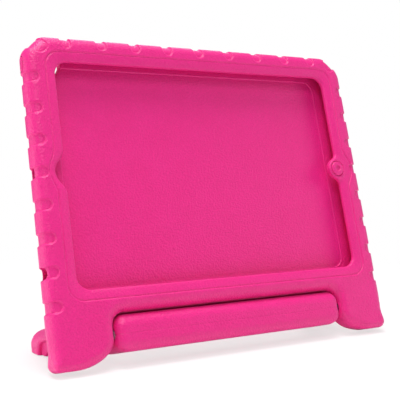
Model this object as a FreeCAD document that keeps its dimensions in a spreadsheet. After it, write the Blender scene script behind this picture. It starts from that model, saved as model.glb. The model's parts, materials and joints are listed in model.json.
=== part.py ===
"""Padded tablet case with a loop handle that turns to become a stand.

Everything is drawn in the case's own flat frame: X to the right, Y up along the
tablet, Z out of the screen, with the origin at the middle of the glass. Each
finished piece then gets one Placement that leans the case back and puts the
bottom centre of the standing assembly at the origin, front towards -Y.
"""
import FreeCAD, Part
import Sketcher
import os
import re

DIMENSIONS = {
    # outside of the foam body
    "half_width": 129.4, "top_edge": 90.7, "recess_top": -88.5, "ear_bottom": -121.6,
    "ear_inside": 89.5, "ear_wall": 88.5, "front_face": 4.5, "back_face": -11.5,
    "top_corner": 15.0, "recess_corner": 9.0, "ear_inner_corner": 14.0,
    "ear_outer_corner": 6.0, "edge_round": 5.4,
    # room for the tablet, and the window over its screen
    "pocket_half_width": 120.3, "pocket_half_height": 85.0, "pocket_front": 0.3,
    "pocket_back": -7.7, "pocket_corner": 10.0,
    "window_half_width": 109.5, "window_top": 72.5, "window_bottom": -73.5,
    "window_corner": 9.0, "lens_notch_depth": 6.3, "lens_notch_half": 8.0,
    "lens_notch_corner": 5.0,
    # finger scallops round the rim
    "scallop_radius": 3.5, "scallop_depth": 1.6, "scallop_reach": 9.0,
    "side_pitch": 20.5, "top_pitch": 25.1,
    # openings in the walls and in the back
    "wall_mid": -3.7, "jack_y": -61.5, "jack_radius": 4.2, "mic_half": 3.8,
    "slot_radius": 1.8, "port_half": 7.0, "port_radius": 3.4,
    "speaker_y": 24.0, "speaker_half": 9.0,
    "lens_x": -108.5, "lens_y": 74.0, "lens_radius": 7.5,
    # hinge line and the loop handle
    "pivot_y": -101.3, "pivot_z": -3.5, "bar_half": 87.3, "bar_end": 88.0, "bar_top": -90.0,
    "bar_bottom": -113.4, "bar_end_round": 6.5, "bar_front_round": 7.8,
    "neck_z": -28.0, "shoulder_z": -34.0, "loop_half": 116.6, "loop_rear": -72.4,
    "loop_corner": 9.0,
    "opening_front": -23.0, "opening_rear": -54.0, "opening_front_half": 72.0,
    "opening_rear_half": 90.0, "opening_corner": 8.0,
    "wing_bottom": -99.0, "wing_rear": -56.0, "wing_front": -20.0, "wing_inside": 110.0,
    "wing_round": 7.0,
    "seam_y": -101.7, "core_thickness": 4.0, "core_inset": 4.0, "core_half": 102.0,
    "core_front": -5.5, "core_corner": 5.0,
    "ledge_half": 78.0, "ledge_bottom": -89.7, "ledge_height": 16.0, "ledge_root": 2.0,
    "ledge_rear": -16.0, "ledge_round": 2.0,
    # hinge hardware
    "rod_radius": 1.5, "rod_half": 107.5, "rod_end_round": 0.6, "shaft_clearance": 0.05,
    "socket_radius": 3.0, "socket_end": 112.0, "flange_radius": 3.3,
    "flange_thickness": 1.5, "clip_seat": 105.5, "clip_thickness": 1.2,
    "clip_radius": 2.6, "clip_room": 0.2,
    "bushing_radius": 2.7, "bushing_inner_end": 60.0, "tube_bore": 1.8,
    "washer_thickness": 1.0, "spring_washer_gap": 0.1, "spring_washer_wall": 0.5,
    "spring_washer_bore": 1.8, "spring_washer_radius": 3.1,
    # soft covers over the tablet's buttons
    "button_gap": 0.35, "pad_half": 5.0, "pad_radius": 2.2, "pad_depth": 3.0,
    "stem_half": 3.6, "stem_radius": 1.3, "button_travel": 0.8, "travel_room": 0.3,
    "power_y": 71.5, "volume_up_x": -92.3, "volume_down_x": -83.3, "volume_half": 3.8,
    "home_x": 108.8, "home_tab_radius": 7.6, "home_radius": 5.4, "home_front": 4.7,
    "home_back": 1.2, "home_dimple_radius": 1.8, "home_dimple_depth": 0.4,
    "home_round": 0.8,
    # stance
    "lean": 15.4, "ground": -118.2, "back_shift": 4.359,
    # reach of the cutting tools: across the whole case, just past a face, and a hair past one
    "far": 400.0, "overcut": 1.0, "hair": 0.001,
}

doc = FreeCAD.newDocument("tablet_case")
sheet = doc.addObject("Spreadsheet::Sheet", "Dims")
PIECES = []
NEAR = 1e-4


def fill_sheet():
    """Writes each driving dimension as a plain number with an alias."""
    for row, (alias, value) in enumerate(DIMENSIONS.items(), start=1):
        sheet.set(f"A{row}", alias)
        sheet.set(f"B{row}", str(value))
        sheet.setAlias(f"B{row}", alias)
    doc.recompute()


def dims(expression):
    """Turns the alias names in an expression into references to the sheet."""
    def swap(match):
        word = match.group(0)
        return f"Dims.{word}" if word in DIMENSIONS else word
    return re.sub(r"[a-z_]+", swap, str(expression))


def bind(thing, prop, expression):
    thing.setExpression(prop, dims(expression))


def bind_base(thing, x, y, z):
    for axis, expression in (("x", x), ("y", y), ("z", z)):
        bind(thing, f".Placement.Base.{axis}", expression)


def size(alias):
    return DIMENSIONS[alias]


# ---- primitives bound to the sheet ------------------------------------------------

def box(name, x, y, z):
    """A box between the low and high expressions given for each axis."""
    thing = doc.addObject("Part::Box", name)
    bind_base(thing, x[0], y[0], z[0])
    for prop, (low, high) in (("Length", x), ("Width", y), ("Height", z)):
        bind(thing, prop, f"({high}) - ({low})")
    return thing


AXIS_TURN = {
    "x": FreeCAD.Rotation(FreeCAD.Vector(0, 1, 0), 90),
    "y": FreeCAD.Rotation(FreeCAD.Vector(1, 0, 0), -90),
    "z": FreeCAD.Rotation(),
}


def cylinder(name, axis, radius, start, length):
    """A cylinder that runs from start (x, y, z) along the named axis."""
    thing = doc.addObject("Part::Cylinder", name)
    thing.Placement.Rotation = AXIS_TURN[axis]
    bind_base(thing, *start)
    bind(thing, "Radius", radius)
    bind(thing, "Height", length)
    return thing


def cone(name, base_radius, end_radius, start, length):
    """A cone about an axis along X."""
    thing = doc.addObject("Part::Cone", name)
    thing.Placement.Rotation = AXIS_TURN["x"]
    bind_base(thing, *start)
    bind(thing, "Radius1", base_radius)
    bind(thing, "Radius2", end_radius)
    bind(thing, "Height", length)
    return thing


def outline(name, role, points, offset, length):
    """A prism over a polygon whose corners are pairs of expressions."""
    body = doc.addObject("PartDesign::Body", name)
    sketch = body.newObject("Sketcher::SketchObject", f"{name}_sketch")
    plane = [f for f in body.Origin.OriginFeatures if f.Role == role][0]
    sketch.AttachmentSupport = (plane, "")
    sketch.MapMode = "FlatFace"
    bind(sketch, ".AttachmentOffset.Base.z", offset)
    spots = [[sheet.evalExpression(dims(c)) for c in p] for p in points]
    draw_polygon(sketch, spots, points)
    pad = body.newObject("PartDesign::Pad", f"{name}_pad")
    pad.Profile = sketch
    bind(pad, "Length", length)
    return body


def draw_polygon(sketch, spots, points):
    """Closes straight edges through the spots and drives every corner by two sizes."""
    count = len(spots)
    corners = [FreeCAD.Vector(u, v, 0) for u, v in spots]
    for i in range(count):
        sketch.addGeometry(Part.LineSegment(corners[i], corners[(i + 1) % count]), False)
    for i in range(count):
        sketch.addConstraint(Sketcher.Constraint("Coincident", i, 2, (i + 1) % count, 1))
    for i in range(count):
        for kind, k in (("DistanceX", 0), ("DistanceY", 1)):
            spot = sketch.addConstraint(Sketcher.Constraint(kind, -1, 1, i, 1, spots[i][k]))
            bind(sketch, f"Constraints[{spot}]", points[i][k])


# ---- combining --------------------------------------------------------------------

def cut(name, base, *tools):
    thing = doc.addObject("Part::Cut", name)
    thing.Base = base
    thing.Tool = tools[0] if len(tools) == 1 else union(f"{name}_tools", *tools)
    return thing


def union(name, *shapes):
    thing = doc.addObject("Part::MultiFuse", name)
    thing.Shapes = list(shapes)
    return thing


def common(name, first, second):
    thing = doc.addObject("Part::MultiCommon", name)
    thing.Shapes = [first, second]
    return thing


def rounded(name, base, *rules):
    """Rounds the edges that each (test, radius) rule picks out."""
    doc.recompute()
    thing = doc.addObject("Part::Fillet", name)
    thing.Base = base
    picked = []
    for number, edge in enumerate(base.Shape.Edges, start=1):
        for test, radius in rules:
            if test(edge):
                picked.append((number, radius, radius))
                break
    thing.Edges = picked
    doc.recompute()
    return thing


def finish(thing, label):
    """Adds a finished piece to the list under its own name."""
    doc.recompute()
    PIECES.append((thing, label))
    return thing


def ends(edge):
    return [v.Point for v in edge.Vertexes]


def along(edge, axis):
    """True for a straight edge parallel to the named axis."""
    if len(edge.Vertexes) != 2 or edge.Curve.TypeId != "Part::GeomLine":
        return False
    a, b = ends(edge)
    span = b - a
    return abs(abs(getattr(span, axis)) - span.Length) < NEAR


def in_plane(edge, axis, value):
    box_of = edge.BoundBox
    low, high = getattr(box_of, f"{axis}Min"), getattr(box_of, f"{axis}Max")
    return abs(low - value) < NEAR and abs(high - value) < NEAR


def runs_along(axis):
    """A test that picks the straight edges parallel to the named axis."""
    return lambda edge: along(edge, axis)


def lies_in(axis, *values):
    """A test that picks the edges in a plane where the axis equals one of the values."""
    return lambda edge: any(in_plane(edge, axis, value) for value in values)


def corner_at(axis, x, other):
    """A test that picks the edges parallel to Y or Z at (+-x, other) of their plan."""
    across = "y" if axis == "z" else "z"

    def test(edge):
        if not along(edge, axis):
            return False
        spot = ends(edge)[0]
        return abs(abs(spot.x) - x) < NEAR and abs(getattr(spot, across) - other) < NEAR
    return test


def slot(name, axis, centre, half, radius, start, length):
    """A round-ended slot: a box and two cylinders running along the named axis.

    The slot is long across `centre` in Y when it runs along X or Z, and in X when
    it runs along Y. start is the coordinate where it begins.
    """
    straight = f"({half}) - ({radius})"
    long_mid, cross = centre
    if axis == "x":
        core = box(f"{name}_core", (start, f"{start} + {length}"),
                   (f"{long_mid} - ({straight})", f"{long_mid} + ({straight})"),
                   (f"{cross} - ({radius})", f"{cross} + ({radius})"))
        tips = [(start, f"{long_mid} {s} ({straight})", cross) for s in "-+"]
    else:
        core = box(f"{name}_core", (f"{long_mid} - ({straight})", f"{long_mid} + ({straight})"),
                   (start, f"{start} + {length}"),
                   (f"{cross} - ({radius})", f"{cross} + ({radius})"))
        tips = [(f"{long_mid} {s} ({straight})", start, cross) for s in "-+"]
    rounds = [cylinder(f"{name}_end{i}", axis, radius, tip, length)
              for i, tip in enumerate(tips)]
    return union(name, core, *rounds)


# ---- foam body --------------------------------------------------------------------

def body_blank():
    """The padded frame with its two ears, all its rims rounded."""
    right = [("half_width", "top_edge"), ("half_width", "ear_bottom"),
             ("ear_wall", "ear_bottom"), ("ear_wall", "recess_top")]
    left = [(f"-{x}", y) for x, y in reversed(right)]
    plate = outline("body_plate", "XY_Plane", right + left, "back_face",
                    "front_face - back_face")
    corner_sizes = (
        (size("half_width"), size("top_edge"), size("top_corner")),
        (size("half_width"), size("ear_bottom"), size("ear_outer_corner")),
        (size("ear_wall"), size("ear_bottom"), size("ear_inner_corner")),
        (size("ear_wall"), size("recess_top"), size("recess_corner")),
    )
    rules = [(corner_at("z", x, y), radius) for x, y, radius in corner_sizes]
    plan = rounded("body_plan", plate, *rules)
    rims = lies_in("Z", size("front_face"), size("back_face"))
    return rounded("body_blank", plan, (rims, size("edge_round")))


def tablet_room():
    """The pocket for the tablet and the window over its screen."""
    pocket = box("pocket_box", ("-pocket_half_width", "pocket_half_width"),
                 ("-pocket_half_height", "pocket_half_height"),
                 ("pocket_back", "pocket_front"))
    pocket = rounded("pocket", pocket, (runs_along("z"), size("pocket_corner")))
    window = box("window_box", ("-window_half_width", "window_half_width"),
                 ("window_bottom", "window_top"), ("pocket_back", "front_face + overcut"))
    window = rounded("window_plan", window, (runs_along("z"), size("window_corner")))
    tab = cylinder("home_tab", "z", "home_tab_radius", ("home_x", "0", "pocket_front"), "far")
    window = cut("window", window, tab)
    notch = box("lens_notch_box",
                ("-window_half_width - lens_notch_depth", "-window_half_width + lens_notch_half"),
                ("-lens_notch_half", "lens_notch_half"), ("pocket_back", "front_face + overcut"))
    notch = rounded("lens_notch", notch,
                    (runs_along("z"), size("lens_notch_corner")))
    return [pocket, window, notch]


def scallop(name, rim, spot, axis, inward):
    """A shallow round-ended scoop that runs in from the rim.

    The rim is where the axis, x or y, equals `rim`; spot is the place along it, and
    inward is the sign of the way in.
    """
    outward = {"+": "-", "-": "+"}[inward]
    inner = f"{rim} {inward} (scallop_reach - scallop_radius)"
    run = sorted_ends(inner, f"{rim} {outward} overcut", inward)
    width = (f"{spot} - scallop_radius", f"{spot} + scallop_radius")
    floor = "front_face - scallop_depth"
    x, y = (run, width) if axis == "x" else (width, run)
    centre = (inner, spot) if axis == "x" else (spot, inner)
    channel = box(f"{name}_run", x, y, (floor, "front_face + overcut"))
    tip = cylinder(f"{name}_tip", "z", "scallop_radius", (*centre, floor),
                   "scallop_depth + overcut")
    return [channel, tip]


def sorted_ends(inner, outer, inward):
    """The low end first: on a rim whose way in is -, the inner end is the low one."""
    return (inner, outer) if inward == "-" else (outer, inner)


def scallops():
    """Eight scoops down each side and nine along the top."""
    tools = []
    for step in range(-4, 4):
        spot = f"{step} * side_pitch"
        tools += scallop(f"left_scallop_{step + 5}", "-half_width", spot, "x", "+")
        tools += scallop(f"right_scallop_{step + 5}", "half_width", spot, "x", "-")
    for step in range(-4, 5):
        tools += scallop(f"top_scallop_{step + 5}", "top_edge", f"{step} * top_pitch", "y", "-")
    return tools


def wall_openings():
    """Sockets, slots and the lens hole that the tablet needs."""
    wall = "half_width - pocket_half_width + overcut"
    jack = cylinder("jack_hole", "x", "jack_radius",
                    ("-half_width - overcut / 2", "jack_y", "wall_mid"), wall)
    mic = slot("mic_hole", "x", ("0", "wall_mid"), "mic_half", "slot_radius",
               "-half_width - overcut / 2", wall)
    port = slot("port_hole", "x", ("0", "wall_mid"), "port_half", "port_radius",
                "pocket_half_width - overcut / 2", wall)
    speakers = [slot(f"speaker_hole_{i}", "x", (f"{s}speaker_y", "wall_mid"), "speaker_half",
                     "slot_radius", "pocket_half_width - overcut / 2", wall)
                for i, s in enumerate(("-", ""), start=1)]
    lens = cylinder("lens_hole", "z", "lens_radius", ("lens_x", "lens_y", "back_face - overcut"),
                    "pocket_back - back_face + 2 * overcut")
    return [jack, mic, port, lens] + speakers


def button_wells():
    """Stepped wells for the side covers and the round seat for the home cover."""
    seat = "pad_depth + button_travel + travel_room"
    wells = []
    for label, axis, mid, half, rim in side_covers():
        low = "-half_width - overcut" if axis == "x" else f"top_edge - ({seat})"
        wells.append(slot(f"{label}_well", axis, (mid, "wall_mid"), f"{half} + button_gap",
                          "pad_radius + button_gap", low, f"{seat} + overcut"))
        low = "-half_width" if axis == "x" else "pocket_half_height - overcut / 2"
        stem = f"{half} - pad_half + stem_half + button_gap"
        wells.append(slot(f"{label}_bore", axis, (mid, "wall_mid"), stem,
                          "stem_radius + button_gap", low, f"{rim} + overcut / 2"))
    home = cylinder("home_seat", "z", "home_radius + button_gap", ("home_x", "0", "0"),
                    "front_face + overcut")
    return wells + [home]


def side_covers():
    """Label, push axis, place along the rim, half length and wall thickness."""
    side_wall = "half_width - pocket_half_width"
    top_wall = "top_edge - pocket_half_height"
    return (
        ("power_button_cover", "x", "power_y", "pad_half", side_wall),
        ("volume_up_cover", "y", "volume_up_x", "volume_half", top_wall),
        ("volume_down_cover", "y", "volume_down_x", "volume_half", top_wall),
    )


def socket_tool(name, side):
    """The outside of an ear socket: a sleeve with a flange at its inner end."""
    sleeve = hinge_cylinder(f"{name}_sleeve", side, "socket_radius", "ear_inside", "socket_end")
    flange = hinge_cylinder(f"{name}_flange", side, "flange_radius", "ear_inside",
                            "ear_inside + flange_thickness")
    return union(name, sleeve, flange)


def hinge_cylinder(name, side, radius, near, far_end):
    """A cylinder on the hinge line between two distances from the middle."""
    start = near if side > 0 else f"-({far_end})"
    return cylinder(name, "x", radius, (start, "pivot_y", "pivot_z"),
                    f"({far_end}) - ({near})")


def ground_block(name):
    """Everything below the floor, so that what rests on it gets a flat."""
    block = box(name, ("-far / 2", "far / 2"), ("-far", "0"), ("-far / 2", "far / 2"))
    block.Placement.Rotation = FreeCAD.Rotation(FreeCAD.Vector(1, 0, 0), size("lean"))
    bind(block, ".Placement.Base.y", "(ground - far) * cos(lean) + far / 2 * sin(lean)")
    bind(block, ".Placement.Base.z", "(ground - far) * sin(lean) - far / 2 * cos(lean)")
    return block


def foam_shell():
    ledge = box("ledge_box", ("-ledge_half", "ledge_half"),
                ("ledge_bottom", "ledge_bottom + ledge_height"),
                ("ledge_rear", "back_face + ledge_root"))
    ledge = rounded("stop_ledge", ledge,
                    (lies_in("Z", size("ledge_rear")), size("ledge_round")))
    blank = union("body_with_ledge", body_blank(), ledge)
    sockets = [socket_tool(f"socket_room_{i}", s) for i, s in enumerate((-1, 1))]
    washers = [hinge_cylinder(f"washer_room_{i}", s, "flange_radius", "ear_wall - overcut",
                              "ear_inside") for i, s in enumerate((-1, 1))]
    tools = tablet_room() + scallops() + wall_openings() + button_wells() + sockets + washers
    finish(cut("foam_shell", blank, ground_block("ground_under_case"), *tools), "foam_shell")


# ---- soft covers ------------------------------------------------------------------

def side_cover(label, axis, mid, half, rim):
    """A pad flush with the rim on a stem that reaches the tablet's button."""
    room = "button_travel + travel_room"
    stem = f"{half} - pad_half + stem_half"
    if axis == "x":
        pad_start, stem_start = "-half_width", "-half_width + pad_depth"
    else:
        pad_start, stem_start = "top_edge - pad_depth", f"top_edge - ({rim}) + {room}"
    pad = slot(f"{label}_pad", axis, (mid, "wall_mid"), half, "pad_radius", pad_start, "pad_depth")
    post = slot(f"{label}_stem", axis, (mid, "wall_mid"), stem, "stem_radius", stem_start,
                f"{rim} - pad_depth - ({room})")
    finish(union(label, pad, post), label)


def home_button_cover():
    """A disc with a rounded face and a small dimple, in the tab of the lip."""
    disc = cylinder("home_disc", "z", "home_radius", ("home_x", "0", "home_back"),
                    "home_front - home_back")
    disc = rounded("home_button", disc, (lies_in("Z", size("home_front")), size("home_round")))
    dimple = cylinder("home_dimple", "z", "home_dimple_radius",
                      ("home_x", "0", "home_front - home_dimple_depth"), "far")
    finish(cut("home_button_cover", disc, dimple), "home_button_cover")


# ---- loop handle ------------------------------------------------------------------

def loop_blank():
    """The bar between the ears and the wide loop behind it, seen from above.

    The sketch lies on the XZ plane, so its second axis is Z.
    """
    right = [("bar_end", "front_face"), ("bar_end", "neck_z"),
             ("loop_half", "shoulder_z"), ("loop_half", "loop_rear")]
    left = [(f"-{x}", z) for x, z in reversed(right)]
    plan = outline("loop_plan", "XZ_Plane", right + left, "-bar_top", "bar_top - bar_bottom")
    rounds = (
        (size("bar_end"), size("front_face"), size("bar_end_round")),
        (size("bar_end"), size("neck_z"), size("wing_round")),
        (size("loop_half"), size("shoulder_z"), size("wing_round")),
        (size("loop_half"), size("loop_rear"), size("loop_corner")),
    )
    rules = [(corner_at("y", x, z), radius) for x, z, radius in rounds]
    solid = rounded("loop_corners", plan, *rules)
    rims = lies_in("Y", size("bar_top"), size("bar_bottom"))
    return rounded("loop_blank", solid, (rims, size("bar_front_round")))


def hand_opening():
    """The gap that fingers go through, wider at the back."""
    right = [("opening_front_half", "opening_front"), ("opening_rear_half", "opening_rear")]
    left = [(f"-{x}", z) for x, z in reversed(right)]
    gap = outline("opening_plan", "XZ_Plane", right + left, "-bar_top - overcut",
                  "bar_top - bar_bottom + 2 * overcut")
    return rounded("hand_opening", gap, (runs_along("y"), size("opening_corner")))


def wing_undercuts():
    """Clears the lower half of each shoulder in front of the rear foot."""
    tools = []
    for label, (low, high) in (("left", ("-loop_half - overcut", "-wing_inside")),
                               ("right", ("wing_inside", "loop_half + overcut"))):
        block = box(f"{label}_undercut_box", (low, high),
                    ("bar_bottom - overcut", "wing_bottom"), ("wing_rear", "wing_front"))
        tools.append(rounded(f"{label}_undercut", block, (is_undercut_edge, size("wing_round"))))
    return tools


def is_undercut_edge(edge):
    """True for the upper rear edge of a shoulder's undercut."""
    return (along(edge, "x") and in_plane(edge, "Y", size("wing_bottom"))
            and in_plane(edge, "Z", size("wing_rear")))


def handle_core():
    """A flat stiffening ring between the two foam halves, cradling the hinge tube."""
    right = [("bar_half - core_inset", "core_front"),
             ("bar_half - core_inset", "neck_z - core_inset"),
             ("core_half", "shoulder_z - core_inset"),
             ("core_half", "loop_rear + core_inset")]
    left = [(f"-({x})", z) for x, z in reversed(right)]
    plate = outline("core_plan", "XZ_Plane", right + left, "-seam_y - core_thickness / 2",
                    "core_thickness")
    right = [("opening_front_half + core_inset", "opening_front + core_inset"),
             ("opening_rear_half + core_inset", "opening_rear - core_inset")]
    left = [(f"-({x})", z) for x, z in reversed(right)]
    hole = outline("core_opening", "XZ_Plane", right + left, "-seam_y - core_thickness",
                   "core_thickness * 2")
    cradle = cylinder("core_cradle", "x", "bushing_radius",
                      ("-bar_half - overcut", "pivot_y", "pivot_z"), "2 * bar_half + 2 * overcut")
    ring = cut("core_room", plate, hole, cradle)
    finish(rounded("handle_core", ring, (is_core_corner, size("core_corner"))), "handle_core")


def is_core_corner(edge):
    """True for the upright edges at the full width of the core."""
    return along(edge, "y") and abs(abs(ends(edge)[0].x) - size("core_half")) < NEAR


def handle_foams():
    """The loop split along its moulded seam, hollowed for what is inside."""
    loop = cut("loop_shape", loop_blank(), hand_opening(), ground_block("ground_under_loop"),
               *wing_undercuts())
    for label, (low, high) in (("handle_upper_foam", ("seam_y", "bar_top + overcut")),
                               ("handle_lower_foam", ("bar_bottom - overcut", "seam_y"))):
        half = box(f"{label}_half", ("-far / 2", "far / 2"), (low, high),
                   ("loop_rear - overcut", "front_face + overcut"))
        shape = common(f"{label}_shape", loop, half)
        bore = cylinder(f"{label}_bore", "x", "bushing_radius",
                        ("-bar_half - overcut", "pivot_y", "pivot_z"),
                        "2 * bar_half + 2 * overcut")
        seats = [hinge_cylinder(f"{label}_seat_{i}", s, "flange_radius",
                                "bar_half - flange_thickness", "bar_half + overcut")
                 for i, s in enumerate((-1, 1))]
        room = doc.getObject("core_room")
        finish(cut(label, shape, bore, room, *seats), label)


# ---- hinge hardware ---------------------------------------------------------------

def hinge_rod():
    bar = hinge_cylinder("rod_bar", 1, "rod_radius", "-rod_half", "rod_half")
    tips = lies_in("X", -size("rod_half"), size("rod_half"))
    finish(rounded("hinge_rod", bar, (tips, size("rod_end_round"))), "hinge_rod")


def hinge_tube():
    """The tube inside the bar, from one bushing to the other."""
    outside = hinge_cylinder("tube_outside", 1, "bushing_radius", "-bushing_inner_end",
                             "bushing_inner_end")
    inside = hinge_cylinder("tube_inside", 1, "tube_bore", "-bushing_inner_end - overcut",
                            "bushing_inner_end + overcut")
    finish(cut("hinge_tube", outside, inside), "hinge_tube")


def side_hardware(word, side):
    """Socket, clip, bushing and washers of one end of the hinge."""
    bore = "rod_radius + shaft_clearance"
    name = f"{word}_ear_socket"
    room = hinge_cylinder(f"{name}_bore", side, bore, "ear_inside - overcut",
                          "socket_end + overcut")
    seat = hinge_cylinder(f"{name}_seat", side, "clip_radius", "clip_seat", "socket_end + overcut")
    finish(cut(name, socket_tool(f"{name}_solid", side), room, seat), name)

    name = f"{word}_rod_clip"
    disc = hinge_cylinder(f"{name}_disc", side, "clip_radius - clip_room", "clip_seat",
                          "clip_seat + clip_thickness")
    hole = hinge_cylinder(f"{name}_hole", side, "rod_radius", "clip_seat - overcut",
                          "clip_seat + clip_thickness + overcut")
    finish(cut(name, disc, hole), name)

    name = f"{word}_bushing"
    sleeve = hinge_cylinder(f"{name}_sleeve", side, "bushing_radius", "bushing_inner_end",
                            "bar_half")
    flange = hinge_cylinder(f"{name}_flange", side, "flange_radius",
                            "bar_half - flange_thickness", "bar_half")
    hole = hinge_cylinder(f"{name}_hole", side, bore, "bushing_inner_end - overcut",
                          "bar_half + overcut")
    finish(cut(name, union(f"{name}_solid", sleeve, flange), hole), name)

    name = f"{word}_thrust_washer"
    disc = hinge_cylinder(f"{name}_disc", side, "flange_radius",
                          "ear_inside - washer_thickness", "ear_inside")
    hole = hinge_cylinder(f"{name}_hole", side, bore, "ear_inside - washer_thickness - overcut",
                          "ear_inside + overcut")
    finish(cut(name, disc, hole), name)
    spring_washer(f"{word}_spring_washer", side)


def spring_washer(name, side):
    """A coned washer that keeps the hinge stiff, wide where it rests on the bushing."""
    height = "ear_inside - washer_thickness - spring_washer_gap - bar_half"
    outer_ends = ["spring_washer_radius", "spring_washer_bore + spring_washer_wall"][::side]
    inner_ends = ["spring_washer_radius - spring_washer_wall", "spring_washer_bore"][::side]
    start = "bar_half" if side > 0 else f"-bar_half - ({height})"
    outer = cone(f"{name}_outer", *outer_ends, (start, "pivot_y", "pivot_z"), height)
    inner = cone(f"{name}_inner", *inner_ends, (f"{start} - hair", "pivot_y", "pivot_z"),
                 f"{height} + 2 * hair")
    finish(cut(name, outer, inner), name)


# ---- build, check, write ----------------------------------------------------------

def stand_up(thing, label):
    """Leans a finished piece back and moves it to the standing frame."""
    thing.Label = label
    thing.Placement = stance().multiply(thing.Placement)


def stance():
    turn = FreeCAD.Rotation(FreeCAD.Vector(1, 0, 0), 90 - size("lean"))
    return FreeCAD.Placement(FreeCAD.Vector(0, -size("back_shift"), -size("ground")), turn)


def check_document():
    for thing in doc.Objects:
        bad = [word for word in thing.State if word in ("Invalid", "Error")]
        if bad:
            raise RuntimeError(f"{thing.Name}: {bad}")
    for thing, label in PIECES:
        if thing.Shape.isNull() or not thing.Shape.isValid():
            raise RuntimeError(f"{label}: shape is not sound")


def write_parts():
    os.makedirs("parts", exist_ok=True)
    for thing, label in PIECES:
        thing.Shape.exportStep(f"parts/{label}.step")


def main():
    fill_sheet()
    foam_shell()
    home_button_cover()
    for cover in side_covers():
        side_cover(*cover)
    handle_core()
    handle_foams()
    hinge_rod()
    hinge_tube()
    for word, side in (("left", -1), ("right", 1)):
        side_hardware(word, side)
    doc.recompute()
    for thing, label in PIECES:
        stand_up(thing, label)
    doc.recompute()
    check_document()
    write_parts()


main()
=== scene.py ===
"""Looks of a padded tablet case whose loop handle turns to become a stand.

Each foam piece is a closed skin drawn round a signed-distance field, which gives it the
soft moulded edges of real foam. The fields are in the case's own flat frame, in
millimetres: X to the right, Y up along the tablet, Z out of the screen.
"""
import bpy
import json
import math
import numpy as np
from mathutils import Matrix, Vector


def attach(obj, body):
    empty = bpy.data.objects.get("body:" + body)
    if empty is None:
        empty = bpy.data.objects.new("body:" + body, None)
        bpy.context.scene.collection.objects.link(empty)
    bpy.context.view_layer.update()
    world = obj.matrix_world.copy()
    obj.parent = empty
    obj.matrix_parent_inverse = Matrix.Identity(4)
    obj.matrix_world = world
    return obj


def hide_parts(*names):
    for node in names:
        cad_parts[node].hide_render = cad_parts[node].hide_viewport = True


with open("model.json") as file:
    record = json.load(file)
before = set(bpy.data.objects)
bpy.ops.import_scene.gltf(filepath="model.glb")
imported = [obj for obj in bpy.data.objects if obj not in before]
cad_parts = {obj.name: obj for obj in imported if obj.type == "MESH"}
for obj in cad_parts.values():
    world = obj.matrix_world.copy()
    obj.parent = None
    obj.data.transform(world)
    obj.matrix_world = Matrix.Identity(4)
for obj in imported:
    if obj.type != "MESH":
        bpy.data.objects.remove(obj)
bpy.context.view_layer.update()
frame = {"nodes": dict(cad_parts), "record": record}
JOINTS = {joint["name"]: joint for joint in frame["record"]["behaviour"]["joints"]}

# outside of the foam body
HALF_WIDTH, TOP, EAR_BOTTOM, RECESS_TOP, EAR_WALL = 129.6, 90.5, -119.5, -88.7, 88.6
FRONT, BACK = 4.5, -11.5
MID_Z, HALF_DEPTH = (FRONT + BACK) / 2, (FRONT - BACK) / 2
TOP_CORNER, EAR_CORNER, RECESS_CORNER, RECESS_HALF = 11.0, 5.0, 9.0, 45.0
EAR_SWEEP_X, EAR_SWEEP_Y, EAR_TAPER = 26.0, 15.8, 1.0
RIM_ROUND, EAR_FOOT_ROUND = 7.9, 4.6
CHAMFER_SUM, CHAMFER_BLEND, DIAGONAL = 207.9, 3.5, 0.7071
# room for the tablet, and the shallow panel in its back wall
POCKET_X, POCKET_Y, POCKET_FRONT, POCKET_BACK, POCKET_CORNER = 120.3, 85.0, 0.3, -7.7, 10.0
PANEL_INSET, PANEL_CORNER, PANEL_DEPTH = 13.0, 8.0, 0.6
# window, with its notch for the lens and its tab for the home button
WINDOW_X, WINDOW_TOP, WINDOW_BOTTOM, WINDOW_CORNER = 109.5, 72.5, -73.5, 9.0
NOTCH_X, NOTCH_RADIUS, TAB_RADIUS = -107.0, 8.8, 7.6
HOME_X, HOME_RADIUS, HOME_SEAT = 108.8, 5.4, 5.65
# the fine step round the window, which bulges past the notch and the tab
LINE_X, LINE_TOP, LINE_BOTTOM, LINE_CORNER = 116.2, 79.0, -80.0, 10.0
BULGE_X, NOTCH_BULGE, TAB_BULGE, BULGE_BLEND = 109.5, 10.6, 12.3, 6.0
LIP_DROP, LIP_CURVE, TAB_DROP, STEP_DROP, GROOVE_DEPTH = 1.5, 1.7, 0.35, 0.32, 0.5
# finger scallops round the rim
SIDE_PITCH, TOP_PITCH, SCALLOP_RADIUS, SCALLOP_REACH = 20.5, 25.1, 3.5, 9.0
SCALLOP_DEPTH, CORNER_DEPTH = 1.05, 0.9
CORNER_SCOOP_X, CORNER_SCOOP_Y, CORNER_SCOOP_RADIUS = 118.6, 82.6, 5.2
# holes in the walls: place along the rim, half length and radius
WALL_Z, SIDE_WALL, TOP_WALL = -3.7, 119.0, 84.0
JACK, MIC, POWER_WELL = (-61.5, 4.2, 4.2), (0.0, 3.8, 1.9), (71.5, 5.35, 2.55)
PORT, SPEAKERS = (0.0, 7.0, 3.4), (24.0, 9.0, 1.8)
VOLUME_UP_WELL, VOLUME_DOWN_WELL = (-92.3, 4.15, 2.55), (-83.3, 4.15, 2.55)
LENS_X, LENS_Y, LENS_RADIUS, LENS_FLARE, LENS_END = -108.5, 74.0, 7.5, 0.35, -6.0
# ledge on the back that the loop stops against
LEDGE_Y, LEDGE_Z, LEDGE_HALF_X, LEDGE_HALF_Y, LEDGE_HALF_Z = -79.7, -11.0, 83.5, 10.0, 5.0
# hinge line: each hole has a narrow mouth, from and to, and a wide end
PIVOT_Y, PIVOT_Z, ROD_HOLE, HINGE_ROOM = -101.3, -3.5, 1.6, 3.4
EAR_HOLE, BAR_HOLE = (86.0, 89.4, 112.0), (87.5, 90.0, 85.6)
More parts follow.
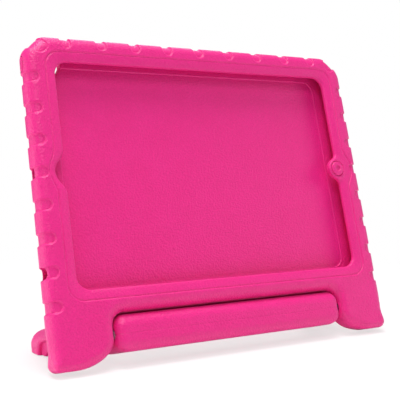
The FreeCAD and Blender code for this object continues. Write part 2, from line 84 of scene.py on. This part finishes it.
# the bar, the loop behind it, and the hand opening between them
BAR_HALF, BAR_TOP, BAR_BOTTOM, BAR_DEPTH, BAR_CORNER = 87.9, -89.9, -113.4, 20.0, 6.5
LOOP_HALF, LOOP_REAR, SHOULDER_Z, LOOP_CORNER, NECK_BLEND = 117.0, -72.6, -34.0, 7.0, 6.0
GAP_HALF, GAP_Z, GAP_DEPTH, GAP_CORNER, GAP_SLANT = 81.0, -38.5, 7.5, 8.0, 0.58
SEAM_Y, SEAM_OVERLAP, SEAM_BLEND, SEAM_DEPTH, SEAM_WIDTH = -101.7, 0.12, 0.06, 0.16, 0.3
# the shoulders of the loop: their raised underside, and the step in front of each foot
SHOULDER_LIFT, LIFT_BLEND = 7.0, 3.0
STEP_X, STEP_Y, STEP_Z, STEP_BEND, STEP_BLEND = 114.0, -99.0, -56.0, 7.0, 2.5
# soft covers over the side buttons
PAD_RADIUS, PAD_DEPTH, STEM_RADIUS, STEM_INSET, STEM_END = 2.2, 3.0, 1.3, 1.4, 7.4
POWER_HALF, VOLUME_HALF, COVER_GRID = 5.0, 3.8, 0.3

# the case's own axes in the row frame, from the directions in which its buttons are pressed
OUT_AXIS = -Vector(JOINTS["home_press"]["axis"])
UP_AXIS = -Vector(JOINTS["volume_up_press"]["axis"])
PIVOT = Vector(JOINTS["handle_turn"]["pos_m"])
MM = 0.001


def to_row(points):
    """Moves points from the case's flat frame, in mm, to the row frame, in metres."""
    local = (points - np.array([0.0, PIVOT_Y, PIVOT_Z])) * MM
    axes = np.array([(1.0, 0.0, 0.0), UP_AXIS, OUT_AXIS])
    return local @ axes + np.array(PIVOT)


def ground_side(y, z):
    """Distance below the floor, positive underneath it."""
    height = PIVOT.z / MM + (y - PIVOT_Y) * UP_AXIS.z + (z - PIVOT_Z) * OUT_AXIS.z
    return -height


# ---- field helpers ----------------------------------------------------------------

def smooth_max(a, b, k):
    """The larger of two fields, with a rounding of about k where they cross."""
    h = np.clip(0.5 - 0.5 * (b - a) / k, 0.0, 1.0)
    return b + (a - b) * h + k * h * (1.0 - h)


def smooth_min(a, b, k):
    return -smooth_max(-a, -b, k)


def ramp(low, high, x):
    """Rises smoothly from 0 at low to 1 at high."""
    t = np.clip((x - low) / (high - low), 0.0, 1.0)
    return t * t * (3.0 - 2.0 * t)


def round_rect(x, y, half_x, half_y, radius):
    qx = np.abs(x) - half_x + radius
    qy = np.abs(y) - half_y + radius
    outside = np.hypot(np.maximum(qx, 0.0), np.maximum(qy, 0.0))
    return outside + np.minimum(np.maximum(qx, qy), 0.0) - radius


def capsule(along, across, half, radius):
    """A round-ended slot that reaches half each way, ends included."""
    return np.hypot(np.maximum(np.abs(along) - (half - radius), 0.0), across) - radius


def rounded_slab(inside, across, half, run, rise):
    """A slab rounded at its rim over a width `run` and a height `rise`."""
    u = (inside + run) * (rise / run)
    v = np.abs(across) - (half - rise)
    outside = np.hypot(np.maximum(u, 0.0), np.maximum(v, 0.0))
    return outside + np.minimum(np.maximum(u, v), 0.0) - rise


# ---- skinning a field -------------------------------------------------------------

def grid_lines(low, high, coarse, fine, bands):
    """Grid coordinates, close together inside the bands and wider apart elsewhere."""
    spots = [low]
    while spots[-1] < high:
        here = spots[-1]
        near = any(a - coarse <= here <= b for a, b in bands)
        spots.append(here + (fine if near else coarse))
    return np.array(spots)


def finer(spots, bands):
    """Halves the steps of a grid line inside the bands."""
    middles = (spots[1:] + spots[:-1]) / 2
    picked = [m for m in middles if any(a < m < b for a, b in bands)]
    return np.sort(np.concatenate([spots, picked]))


def crossings(values, axis, lines):
    """Edges of the grid along one axis where the field changes sign."""
    low = np.take(values, range(values.shape[axis] - 1), axis)
    high = np.take(values, range(1, values.shape[axis]), axis)
    spots = np.nonzero((low < 0) != (high < 0))
    a, b = low[spots], high[spots]
    step = a / (a - b)
    points = [line[index] for line, index in zip(lines, spots)]
    points[axis] = points[axis] + step * (lines[axis][spots[axis] + 1] - lines[axis][spots[axis]])
    return spots, np.stack(points, 1), a < 0


def skin(field, lines):
    """Points and faces of a closed skin on the field's zero, one point per crossed cell."""
    grid = np.meshgrid(*lines, indexing="ij")
    values = field(*grid)
    cells = np.array(values.shape) - 1
    total = int(cells.prod())
    count, place = np.zeros(total), np.zeros((total, 3))
    loops = []
    for axis in range(3):
        spots, points, leaving = crossings(values, axis, lines)
        first, second = (axis + 1) % 3, (axis + 2) % 3
        inside = (spots[first] > 0) & (spots[second] > 0)
        corners = []
        for back_first, back_second in ((1, 1), (0, 1), (0, 0), (1, 0)):
            index = list(spots)
            index[first] = spots[first] - back_first
            index[second] = spots[second] - back_second
            cell = (index[0] * cells[1] + index[1]) * cells[2] + index[2]
            cell = np.where(inside, cell, 0)
            corners.append(cell)
            count += np.bincount(cell[inside], minlength=total)
            for k in range(3):
                place[:, k] += np.bincount(cell[inside], points[inside, k], minlength=total)
        quad = np.stack(corners, 1)[inside]
        loops.append(np.where(leaving[inside, None], quad, quad[:, ::-1]))
    used = np.nonzero(count)[0]
    renumber = np.full(total, -1)
    renumber[used] = np.arange(len(used))
    return settle(field, place[used] / count[used, None]), renumber[np.concatenate(loops)]


def slope(field, points, reach=0.04):
    """The field's gradient at each point."""
    parts = []
    for axis in range(3):
        ahead, behind = points.copy(), points.copy()
        ahead[:, axis] += reach
        behind[:, axis] -= reach
        parts.append((field(*ahead.T) - field(*behind.T)) / (2 * reach))
    return np.stack(parts, 1)


def settle(field, points, rounds=3, limit=0.35):
    """Moves the points onto the field's zero."""
    for _ in range(rounds):
        rise = slope(field, points)
        steep = np.maximum((rise ** 2).sum(1), 0.05)
        move = -(field(*points.T) / steep)[:, None] * rise
        length = np.linalg.norm(move, axis=1, keepdims=True)
        points = points + move * np.minimum(1.0, limit / np.maximum(length, 1e-9))
    return points


def foam_piece(name, field, lines, body, material, node, outside=None):
    """Skins a field and puts the piece in the row frame with the field's own normals.

    On the surface of `outside` its normals are taken instead, so that a tight seam
    between two pieces shades as one surface.
    """
    points, quads = skin(field, lines)
    rise = slope(field, points)
    if outside is not None:
        near = np.abs(outside(*points.T)) < 0.1
        rise[near] = slope(outside, points[near])
    normals = rise / np.maximum(np.linalg.norm(rise, axis=1, keepdims=True), 1e-9)
    axes = np.array([(1.0, 0.0, 0.0), UP_AXIS, OUT_AXIS])
    mesh = bpy.data.meshes.new(name)
    mesh.from_pydata(to_row(points).tolist(), [], quads.tolist())
    mesh.polygons.foreach_set("use_smooth", [True] * len(mesh.polygons))
    mesh.normals_split_custom_set_from_vertices((normals @ axes).tolist())
    mesh.materials.append(material)
    piece = bpy.data.objects.new(name, mesh)
    bpy.context.scene.collection.objects.link(piece)
    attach(piece, body)
    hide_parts(node)
    return piece


# ---- foam body --------------------------------------------------------------------

def rim_plan(x, y):
    """Outline of the body seen from the front: a rounded frame with two ears."""
    ax = np.abs(x)
    middle, half = (TOP + EAR_BOTTOM) / 2, (TOP - EAR_BOTTOM) / 2
    corner = np.where(y > middle, TOP_CORNER, EAR_CORNER)
    taper = EAR_TAPER * ramp(-92.0, -119.0, y)
    outline = round_rect(x, y - middle, HALF_WIDTH - taper, half, corner)
    outline = smooth_max(outline, (ax + y - CHAMFER_SUM) * DIAGONAL, CHAMFER_BLEND)
    recess = round_rect(x, y - (RECESS_TOP - RECESS_HALF), EAR_WALL, RECESS_HALF, RECESS_CORNER)
    plan = np.maximum(outline, -recess)
    return np.maximum(plan, ear_sweep(ax, y))


def ear_sweep(ax, y):
    """The long curve at the inner foot of each ear, a quarter of an ellipse."""
    dx = np.maximum(EAR_WALL + EAR_SWEEP_X - ax, 0.0)
    dy = np.maximum(EAR_BOTTOM + EAR_SWEEP_Y - y, 0.0)
    k0 = np.hypot(dx / EAR_SWEEP_X, dy / EAR_SWEEP_Y)
    k1 = np.hypot(dx / EAR_SWEEP_X ** 2, dy / EAR_SWEEP_Y ** 2)
    return np.where((dx > 0) & (dy > 0), k0 * (k0 - 1.0) / np.maximum(k1, 1e-6), -50.0)


def body_solid(x, y, z):
    """The padded frame before anything is pressed into it.

    Its rim is less rounded along the inner side of the ears, most of all at the rear,
    where the bar turns, and at the outer foot of each ear.
    """
    ax = np.abs(x)
    inner = ramp(116.0, 98.0, ax) * ramp(-80.0, -92.0, y)
    low = ramp(-106.0, -116.0, y) * ramp(100.0, 114.0, ax)
    rear = ramp(-2.5, -4.5, z)
    side = ramp(-90.0, -96.0, y)
    beside_bar = 1.6 * inner * side * (1.0 - rear)
    run = RIM_ROUND - 4.4 * inner * rear - beside_bar
    rise = RIM_ROUND - 4.0 * inner * rear - beside_bar
    foot = EAR_FOOT_ROUND - 1.4 * rear
    run = run + (foot - run) * low
    rise = rise + (foot - rise) * low
    return rounded_slab(rim_plan(x, y), z - MID_Z, HALF_DEPTH, run, rise)


def window_plan(x, y):
    middle, half = (WINDOW_TOP + WINDOW_BOTTOM) / 2, (WINDOW_TOP - WINDOW_BOTTOM) / 2
    window = round_rect(x, y - middle, WINDOW_X, half, WINDOW_CORNER)
    notch = np.hypot(x - NOTCH_X, y) - NOTCH_RADIUS
    tab = np.hypot(x - HOME_X, y) - TAB_RADIUS
    return smooth_max(smooth_min(window, notch, BULGE_BLEND), -tab, 5.0)


def line_plan(x, y):
    """Where the fine step round the window runs."""
    middle, half = (LINE_TOP + LINE_BOTTOM) / 2, (LINE_TOP - LINE_BOTTOM) / 2
    line = round_rect(x, y - middle, LINE_X, half, LINE_CORNER)
    notch = np.hypot(x + BULGE_X, y) - NOTCH_BULGE
    tab = np.hypot(x - BULGE_X, y) - TAB_BULGE
    return smooth_min(smooth_min(line, notch, BULGE_BLEND), tab, BULGE_BLEND)


def lip_drop(x, y):
    """How far the lip sinks from the fine step to the window's edge."""
    window, line = window_plan(x, y), line_plan(x, y)
    part = np.clip(window / np.maximum(window - line, 0.5), 0.0, 1.0)
    slope_down = LIP_DROP * (1.0 - part) ** LIP_CURVE
    near_home = ramp(12.0, 6.5, np.hypot(x - HOME_X, y))
    slope_down = slope_down * (1.0 - near_home) + TAB_DROP * near_home
    step = STEP_DROP * ramp(0.35, -0.35, line)
    groove = GROOVE_DEPTH * np.exp(-(line / 0.5) ** 2)
    return np.where(line < 8.0, slope_down * ramp(0.0, -1.0, line) + step + groove, 0.0)


def scallop_drop(x, y):
    """How deep the finger scallops are pressed into the rim, with a narrow edge."""
    ax = np.abs(x)
    start = SCALLOP_REACH - SCALLOP_RADIUS
    step = y - SIDE_PITCH * np.clip(np.round(y / SIDE_PITCH), -4, 3)
    side = np.hypot(np.minimum(ax - (HALF_WIDTH - start), 0.0), step) - SCALLOP_RADIUS
    step = x - TOP_PITCH * np.clip(np.round(x / TOP_PITCH), -4, 4)
    top = np.hypot(np.minimum(y - (TOP - start), 0.0), step) - SCALLOP_RADIUS
    dx, dy = ax - CORNER_SCOOP_X, y - CORNER_SCOOP_Y
    corner = np.hypot(np.minimum((dx + dy) * DIAGONAL, 0.0), (dy - dx) * DIAGONAL)
    corner = corner - CORNER_SCOOP_RADIUS
    shallow = SCALLOP_DEPTH * ramp(0.45, -0.45, np.minimum(side, top))
    return np.maximum(shallow, CORNER_DEPTH * ramp(0.5, -0.5, corner))


def wall_hole(along, z, hole):
    place, half, radius = hole
    return capsule(along - place, z - WALL_Z, half, radius)


def wall_cuts(x, y, z):
    """Holes through the walls and the back, as one field that is negative inside them."""
    left = np.minimum(wall_hole(y, z, JACK), wall_hole(y, z, MIC))
    left = np.minimum(left, wall_hole(y, z, POWER_WELL))
    right = np.minimum(wall_hole(y, z, PORT), wall_hole(np.abs(y), z, SPEAKERS))
    top = np.minimum(wall_hole(x, z, VOLUME_UP_WELL), wall_hole(x, z, VOLUME_DOWN_WELL))
    lens = np.hypot(x - LENS_X, y - LENS_Y) - LENS_RADIUS + LENS_FLARE * (POCKET_BACK - z)
    cuts = np.minimum(np.maximum(left, x + SIDE_WALL), np.maximum(right, SIDE_WALL - x))
    cuts = np.minimum(cuts, np.maximum(top, TOP_WALL - y))
    return np.minimum(cuts, np.maximum(lens, z - LENS_END))


def hinge_hole(x, y, z, hole):
    """The room for the hinge: narrow where the rod leaves the foam, wide further in."""
    narrow_from, narrow_to, end = hole
    ax, rho = np.abs(x), np.hypot(y - PIVOT_Y, z - PIVOT_Z)
    narrow = np.maximum(rho - ROD_HOLE, np.maximum(narrow_from - ax, ax - narrow_to))
    low, high = sorted((narrow_from if end < narrow_from else narrow_to, end))
    wide = np.maximum(rho - HINGE_ROOM, np.maximum(low - ax, ax - high))
    return np.minimum(narrow, wide)


def ledge_field(x, y, z):
    """The ledge across the back, above the bar."""
    plan = round_rect(x, y - LEDGE_Y, LEDGE_HALF_X, LEDGE_HALF_Y, 2.5)
    return np.maximum(plan, round_rect(y - LEDGE_Y, z - LEDGE_Z, LEDGE_HALF_Y, LEDGE_HALF_Z, 2.0))


def pocket_field(x, y, z):
    """The tablet's room, with the shallow panel in its back wall."""
    room = round_rect(x, y, POCKET_X, POCKET_Y, POCKET_CORNER)
    room = np.maximum(room, np.maximum(z - POCKET_FRONT, POCKET_BACK - z))
    panel = round_rect(x, y, POCKET_X - PANEL_INSET, POCKET_Y - PANEL_INSET, PANEL_CORNER)
    return np.minimum(room, np.maximum(panel, np.maximum(z, POCKET_BACK - PANEL_DEPTH - z)))


def body_field(x, y, z):
    """The whole foam body: each smooth_max or smooth_min also rounds the edge it makes."""
    solid = body_solid(x, y, z)
    solid = solid + lip_drop(x, y) * ramp(-4.0, 0.0, z)
    solid = solid + scallop_drop(x, y) * ramp(-11.0, -8.0, z)
    solid = smooth_min(solid, ledge_field(x, y, z), 2.0)
    window = np.maximum(window_plan(x, y), POCKET_BACK - z)
    home = np.maximum(np.hypot(x - HOME_X, y) - HOME_SEAT, -z)
    solid = smooth_max(solid, -window, 1.3)
    solid = smooth_max(solid, -pocket_field(x, y, z), 0.5)
    solid = smooth_max(solid, -home, 0.8)
    solid = smooth_max(solid, -wall_cuts(x, y, z), 0.7)
    solid = np.maximum(solid, -hinge_hole(x, y, z, EAR_HOLE))
    return smooth_max(solid, ground_side(y, z), 0.5)


def around(places, reach):
    """Bands that reach the same distance to both sides of each place."""
    return [(place - reach, place + reach) for place in places]


def body_lines():
    """Grid lines of the body, close together at the rims, scallops, fine step and button."""
    edges = (-SCALLOP_RADIUS, SCALLOP_RADIUS)
    top = around([TOP_PITCH * i + e for i in range(-4, 5) for e in edges], 1.0)
    side = around([SIDE_PITCH * i + e for i in range(-4, 4) for e in edges], 1.0)
    xs = grid_lines(-131.2, 131.2, 1.9, 0.7, top + [(-132.0, -98.0), (98.0, 132.0)])
    ys = grid_lines(-122.6, 92.5, 1.9, 0.7, side + [(-124.0, -70.0), (-13.0, 13.0), (68.0, 93.0)])
    xs = finer(xs, [(-LINE_X - 1.5, -LINE_X + 1.5), (HOME_X - 6.6, LINE_X + 1.5)])
    ys = finer(ys, around((LINE_BOTTOM, LINE_TOP), 1.5))
    ys = finer(ys, around((0.0,), 6.6))
    zs = grid_lines(-17.5, 6.2, 0.6, 0.6, [])
    return xs, ys, zs


# ---- soft covers ------------------------------------------------------------------

def home_field(x, y, z):
    """A low domed button with a small dimple."""
    rho = np.hypot(x - HOME_X, y)
    face = 4.75 - 0.012 * rho ** 2 - 0.9 * ramp(2.4, 1.6, rho)
    disc = smooth_max(rho - HOME_RADIUS, z - face, 1.2)
    return smooth_max(disc, 1.2 - z, 0.4)


def side_cover_field(axis, mid, half):
    """A pad that follows the rim, on a stem that reaches the tablet's button."""
    def field(x, y, z):
        along = (y if axis == "x" else x) - mid
        depth = x + HALF_WIDTH if axis == "x" else TOP - y
        rim = rounded_slab(rim_plan(x, y), z - MID_Z, HALF_DEPTH, RIM_ROUND, RIM_ROUND)
        pad = smooth_max(capsule(along, z - WALL_Z, half, PAD_RADIUS), rim, 0.5)
        pad = smooth_max(pad, depth - PAD_DEPTH, 0.3)
        stem = capsule(along, z - WALL_Z, half - STEM_INSET, STEM_RADIUS)
        stem = smooth_max(stem, depth - STEM_END, 0.3)
        stem = np.maximum(stem, 1.0 - depth)
        return smooth_min(pad, stem, 0.4)
    return field


def even_lines(low, high, step):
    """Evenly spaced grid lines from one corner to the other."""
    return tuple(np.arange(a, b + step, step) for a, b in zip(low, high))


# ---- loop handle ------------------------------------------------------------------

def loop_plan(x, z):
    """The bar and the wider loop behind it, seen along the case's own Y."""
    ax = np.abs(x)
    bar = round_rect(x, z - (FRONT - BAR_DEPTH), BAR_HALF, BAR_DEPTH, BAR_CORNER)
    middle, half = (SHOULDER_Z + LOOP_REAR) / 2, (SHOULDER_Z - LOOP_REAR) / 2
    wide = round_rect(x, z - middle, LOOP_HALF, half, LOOP_CORNER)
    plan = smooth_min(bar, wide, NECK_BLEND)
    slant = GAP_HALF + (GAP_Z - z) * GAP_SLANT
    beside = np.maximum(ax - slant + GAP_CORNER, 0.0)
    beyond = np.maximum(np.abs(z - GAP_Z) - GAP_DEPTH, 0.0)
    gap = np.hypot(beside, beyond) - GAP_CORNER
    return smooth_max(plan, -gap, 1.5)


def foot_step(ax, y, z):
    """The step in the outer side of each shoulder, in front of its foot."""
    block = np.maximum(np.maximum(STEP_X - ax, y - STEP_Y), STEP_Z - z)
    high = np.maximum(y - (STEP_Y - STEP_BEND), 0.0)
    back = np.maximum(STEP_Z + STEP_BEND - z, 0.0)
    return np.maximum(block, np.hypot(high, back) - STEP_BEND)


def loop_field(x, y, z):
    """The whole loop, uncut at its seam."""
    ax = np.abs(x)
    rear = ramp(-22.0, -48.0, z)
    run = 7.6 + 3.0 * rear
    rise = 7.8 + 1.8 * rear
    half = (BAR_TOP - BAR_BOTTOM) / 2
    solid = rounded_slab(loop_plan(x, z), y - (BAR_TOP + BAR_BOTTOM) / 2, half, run, rise)
    lift = SHOULDER_LIFT * ramp(78.0, 98.0, ax) * ramp(-62.0, -46.0, z)
    solid = smooth_max(solid, BAR_BOTTOM + lift - y, LIFT_BLEND)
    solid = solid + SEAM_DEPTH * np.exp(-((y - SEAM_Y) / SEAM_WIDTH) ** 2)
    solid = smooth_max(solid, -foot_step(ax, y, z), STEP_BLEND)
    solid = np.maximum(solid, -hinge_hole(x, y, z, BAR_HOLE))
    return smooth_max(solid, ground_side(y, z), 0.6)


def upper_field(x, y, z):
    return smooth_max(loop_field(x, y, z), SEAM_Y - SEAM_OVERLAP - y, SEAM_BLEND)


def lower_field(x, y, z):
    return smooth_max(loop_field(x, y, z), y - SEAM_Y - SEAM_OVERLAP, SEAM_BLEND)


def loop_lines(low_y, high_y):
    xs = grid_lines(-117.0, 117.0, 1.8, 0.8, [(-118.0, -76.0), (76.0, 118.0)])
    ys = grid_lines(low_y, high_y, 0.75, 0.75, [])
    for _ in range(2):
        ys = finer(ys, around((SEAM_Y,), 0.8))
    zs = grid_lines(-73.6, 6.0, 0.9, 0.9, [])
    return xs, ys, zs


# ---- materials --------------------------------------------------------------------

def new_material(name):
    material = bpy.data.materials.new(name)
    material.use_nodes = True
    tree = material.node_tree
    shader = tree.nodes["Principled BSDF"]
    return material, tree, shader


def add(tree, kind, **values):
    """Adds a node and sets its sockets by name."""
    node = tree.nodes.new(kind)
    for key, value in values.items():
        socket = key.replace("_", " ")
        if socket in node.inputs:
            node.inputs[socket].default_value = value
        else:
            setattr(node, key, value)
    return node


def noise(tree, coords, scale, detail=2.0, rough=0.5):
    node = add(tree, "ShaderNodeTexNoise", Scale=scale, Detail=detail, Roughness=rough)
    tree.links.new(coords, node.inputs["Vector"])
    return node.outputs["Fac"]


def spread(tree, value, low, high, start=0.0, stop=1.0):
    """Maps start..stop to low..high."""
    node = add(tree, "ShaderNodeMapRange")
    node.inputs["From Min"].default_value = start
    node.inputs["From Max"].default_value = stop
    node.inputs["To Min"].default_value = low
    node.inputs["To Max"].default_value = high
    tree.links.new(value, node.inputs["Value"])
    return node.outputs["Result"]


def mix_colour(tree, factor, first, second):
    node = tree.nodes.new("ShaderNodeMix")
    node.data_type = "RGBA"
    tree.links.new(factor, node.inputs["Factor"])
    for slot, value in ((6, first), (7, second)):
        if isinstance(value, tuple):
            node.inputs[slot].default_value = value
        else:
            tree.links.new(value, node.inputs[slot])
    return node.outputs[2]


def bump(tree, height, strength, distance, under=None):
    node = add(tree, "ShaderNodeBump", Strength=strength, Distance=distance)
    tree.links.new(height, node.inputs["Height"])
    if under is not None:
        tree.links.new(under, node.inputs["Normal"])
    return node.outputs["Normal"]


FOAM_DEEP, FOAM_LIGHT = (0.87, 0.010, 0.235, 1.0), (0.93, 0.015, 0.275, 1.0)
# the fourth colour is a lighter, whiter pink for convex edges: partly rubbed wear, partly a
# painted highlight
FOAM_SPECK, FOAM_WEAR_AND_HIGHLIGHT = (0.60, 0.007, 0.165, 1.0), (0.90, 0.075, 0.36, 1.0)
FOAM_SHEEN = (1.0, 0.45, 0.92, 1.0)


def foam_material():
    """Moulded closed-cell foam: a pebbled grain, soft mottling, and convex edges lightened partly
    as rubbed wear and partly as a painted highlight.
    """
    material, tree, shader = new_material("pink foam")
    coords = tree.nodes.new("ShaderNodeTexCoord").outputs["Object"]
    shader.inputs["Specular IOR Level"].default_value = 0.5
    shader.inputs["Sheen Weight"].default_value = 0.22
    shader.inputs["Sheen Tint"].default_value = FOAM_SHEEN
    shader.inputs["Sheen Roughness"].default_value = 0.45
    mottle = noise(tree, coords, 55.0, 3.0)
    body = mix_colour(tree, mottle, FOAM_DEEP, FOAM_LIGHT)
    speck = spread(tree, noise(tree, coords, 1150.0, 2.0), 0.0, 0.27, 0.36, 0.64)
    body = mix_colour(tree, speck, body, FOAM_SPECK)
    # painted highlight and wear: convex edges, picked out by pointiness, are lightened towards a
    # whiter pink
    wear_and_highlight_ramp = add(tree, "ShaderNodeValToRGB")
    wear_and_highlight_ramp.color_ramp.elements[0].position = 0.53
    wear_and_highlight_ramp.color_ramp.elements[1].position = 0.64
    tree.links.new(tree.nodes.new("ShaderNodeNewGeometry").outputs["Pointiness"], wear_and_highlight_ramp.inputs[0])
    edge_wear_and_highlight = spread(tree, wear_and_highlight_ramp.outputs["Color"], 0.0, 0.25)
    body = mix_colour(tree, edge_wear_and_highlight, body, FOAM_WEAR_AND_HIGHLIGHT)
    tree.links.new(body, shader.inputs["Base Color"])
    tree.links.new(spread(tree, noise(tree, coords, 140.0, 3.0), 0.39, 0.49),
                   shader.inputs["Roughness"])
    cells = add(tree, "ShaderNodeTexVoronoi", Scale=820.0, Randomness=1.0)
    tree.links.new(coords, cells.inputs["Vector"])
    grain = bump(tree, cells.outputs["Distance"], 0.5, 0.0005)
    fine = bump(tree, noise(tree, coords, 2600.0, 2.0), 0.25, 0.00015, grain)
    soft = bump(tree, noise(tree, coords, 60.0, 2.0), 0.03, 0.0012, fine)
    tree.links.new(soft, shader.inputs["Normal"])
    return material


def plastic_material(name, dark, light, roughness):
    """Dull moulded plastic with a fine texture."""
    material, tree, shader = new_material(name)
    shader.inputs["Specular IOR Level"].default_value = 0.15
    coords = tree.nodes.new("ShaderNodeTexCoord").outputs["Object"]
    tree.links.new(mix_colour(tree, noise(tree, coords, 260.0, 3.0), dark, light),
                   shader.inputs["Base Color"])
    tree.links.new(spread(tree, noise(tree, coords, 500.0), roughness - 0.07, roughness + 0.07),
                   shader.inputs["Roughness"])
    tree.links.new(bump(tree, noise(tree, coords, 2200.0, 3.0), 0.25, 0.0001),
                   shader.inputs["Normal"])
    return material


def steel_material():
    """Bright bar steel with fine drawing marks along its length."""
    material, tree, shader = new_material("bright steel")
    shader.inputs["Metallic"].default_value = 1.0
    coords = tree.nodes.new("ShaderNodeTexCoord").outputs["Object"]
    stretch = tree.nodes.new("ShaderNodeMapping")
    stretch.inputs["Scale"].default_value = (20.0, 1600.0, 1600.0)
    tree.links.new(coords, stretch.inputs["Vector"])
    marks = noise(tree, stretch.outputs["Vector"], 1.0, 3.0)
    tree.links.new(mix_colour(tree, marks, (0.50, 0.51, 0.53, 1.0), (0.66, 0.67, 0.69, 1.0)),
                   shader.inputs["Base Color"])
    tree.links.new(spread(tree, marks, 0.22, 0.38), shader.inputs["Roughness"])
    tree.links.new(bump(tree, marks, 0.2, 0.00005), shader.inputs["Normal"])
    return material


def floor_material():
    """A white sweep that the eye sees only faintly, so that shadows on it stay light."""
    material, tree, shader = new_material("pale floor")
    coords = tree.nodes.new("ShaderNodeTexCoord").outputs["Object"]
    tree.links.new(mix_colour(tree, noise(tree, coords, 3.0), (0.92, 0.92, 0.92, 1.0),
                              (0.95, 0.95, 0.95, 1.0)), shader.inputs["Base Color"])
    shader.inputs["Roughness"].default_value = 0.85
    shader.inputs["Specular IOR Level"].default_value = 0.1
    seen = tree.nodes.new("ShaderNodeLightPath").outputs["Is Camera Ray"]
    reach = add(tree, "ShaderNodeVectorMath", operation="LENGTH")
    tree.links.new(coords, reach.inputs[0])
    faint = spread(tree, reach.outputs["Value"], 0.32, 0.0, 0.16, 0.5)
    solid = tree.nodes.new("ShaderNodeMix")
    solid.inputs["A"].default_value = 1.0
    tree.links.new(seen, solid.inputs["Factor"])
    tree.links.new(faint, solid.inputs["B"])
    mix = tree.nodes.new("ShaderNodeMixShader")
    clear = tree.nodes.new("ShaderNodeBsdfTransparent")
    tree.links.new(solid.outputs["Result"], mix.inputs["Fac"])
    tree.links.new(clear.outputs["BSDF"], mix.inputs[1])
    tree.links.new(shader.outputs["BSDF"], mix.inputs[2])
    tree.links.new(mix.outputs["Shader"], tree.nodes["Material Output"].inputs["Surface"])
    return material


def paint_hardware():
    """Gives each carried-over piece of the hinge the material of its slot."""
    black = plastic_material("black plastic", (0.016, 0.016, 0.018, 1.0),
                             (0.030, 0.030, 0.033, 1.0), 0.48)
    acetal = plastic_material("acetal", (0.020, 0.018, 0.019, 1.0),
                              (0.036, 0.033, 0.034, 1.0), 0.55)
    steel = steel_material()
    choice = {"stiff_plastic": black, "bearing_plastic": acetal, "rod_steel": steel}
    for part in frame["record"]["subparts"]:
        material = choice.get(part["material_slot"])
        if material is None:
            continue
        node = frame["nodes"][part["node"]]
        for slot in node.material_slots:
            slot.material = material


# ---- stage ------------------------------------------------------------------------

def make_camera():
    """A long lens to the front left, level with the middle of the case."""
    data = bpy.data.cameras.new("camera")
    data.lens = 73.75
    data.sensor_width = 36.0
    data.shift_x, data.shift_y = 0.025, -0.1
    data.clip_start, data.clip_end = 0.01, 20.0
    camera = bpy.data.objects.new("camera", data)
    camera.location = (-0.3036, -0.4794, 0.1279)
    camera.rotation_euler = (math.radians(90 - 0.22), 0.0, math.radians(-30.97))
    bpy.context.scene.collection.objects.link(camera)
    bpy.context.scene.camera = camera


def make_light(name, place, size, power, target=(0.0, 0.0, 0.1)):
    """A round soft box that faces the target."""
    data = bpy.data.lights.new(name, "AREA")
    data.shape = "DISK"
    data.size = size
    data.energy = power
    light = bpy.data.objects.new(name, data)
    light.location = place
    aim = Vector(target) - Vector(place)
    light.rotation_euler = aim.to_track_quat("-Z", "Y").to_euler()
    bpy.context.scene.collection.objects.link(light)


def make_floor():
    """A wide flat floor, a hair below the feet."""
    mesh = bpy.data.meshes.new("floor")
    corners = [(a * 6.0, b * 6.0, 0.0) for a, b in ((-1, -1), (1, -1), (1, 1), (-1, 1))]
    mesh.from_pydata(corners, [], [(0, 1, 2, 3)])
    floor = bpy.data.objects.new("floor", mesh)
    floor.location.z = -0.0002
    floor.visible_shadow = False
    mesh.materials.append(floor_material())
    bpy.context.scene.collection.objects.link(floor)


def make_world():
    """A white studio: plain white to the eye, a little dimmer as a light."""
    world = bpy.data.worlds.new("studio")
    world.use_nodes = True
    tree = world.node_tree
    sky = tree.nodes["Background"]
    sky.inputs["Color"].default_value = (1.0, 1.0, 1.0, 1.0)
    seen = tree.nodes.new("ShaderNodeLightPath").outputs["Is Camera Ray"]
    tree.links.new(spread(tree, seen, 0.17, 1.0), sky.inputs["Strength"])
    bpy.context.scene.world = world


def make_stage():
    """World, floor, soft boxes and camera."""
    scene = bpy.context.scene
    scene.view_settings.view_transform = "Standard"
    make_world()
    make_floor()
    make_light("overhead", (-0.15, -0.05, 1.9), 0.9, 28.5)
    make_light("key", (-0.28, -0.50, 0.80), 0.3, 1.9, (0.0, 0.0, 0.16))
    make_light("fill", (1.2, -0.8, 0.5), 0.9, 2.9)
    make_light("side", (-1.1, 0.2, 0.25), 0.8, 4.6)
    make_light("back", (0.5, 1.2, 1.0), 0.9, 7.0)
    make_camera()


# ---- build ------------------------------------------------------------------------

def make_foam():
    """Skins every foam piece: body, both halves of the loop, and the four covers."""
    foam = foam_material()
    foam_piece("foam_body", body_field, body_lines(), "case", foam, "foam_shell")
    foam_piece("handle_upper", upper_field, loop_lines(-102.6, -89.6), "handle", foam,
               "handle_upper_foam", loop_field)
    foam_piece("handle_lower", lower_field, loop_lines(-114.3, -101.0), "handle", foam,
               "handle_lower_foam", loop_field)
    lines = even_lines((102.8, -6.0, 0.8), (114.8, 6.0, 5.2), COVER_GRID)
    foam_piece("home_cover", home_field, lines, "home_button", foam, "home_button_cover")
    power = side_cover_field("x", POWER_WELL[0], POWER_HALF)
    lines = even_lines((-129.6, 65.9, -6.5), (-120.6, 77.1, -0.9), COVER_GRID)
    foam_piece("power_cover", power, lines, "power_button", foam, "power_button_cover")
    for name, mid in (("volume_up", VOLUME_UP_WELL[0]), ("volume_down", VOLUME_DOWN_WELL[0])):
        field = side_cover_field("y", mid, VOLUME_HALF)
        lines = even_lines((mid - 4.4, 82.6, -6.5), (mid + 4.4, 91.4, -0.9), COVER_GRID)
        foam_piece(f"{name}_cover_skin", field, lines, f"{name}_button", foam, f"{name}_cover")


make_foam()
paint_hardware()
make_stage()
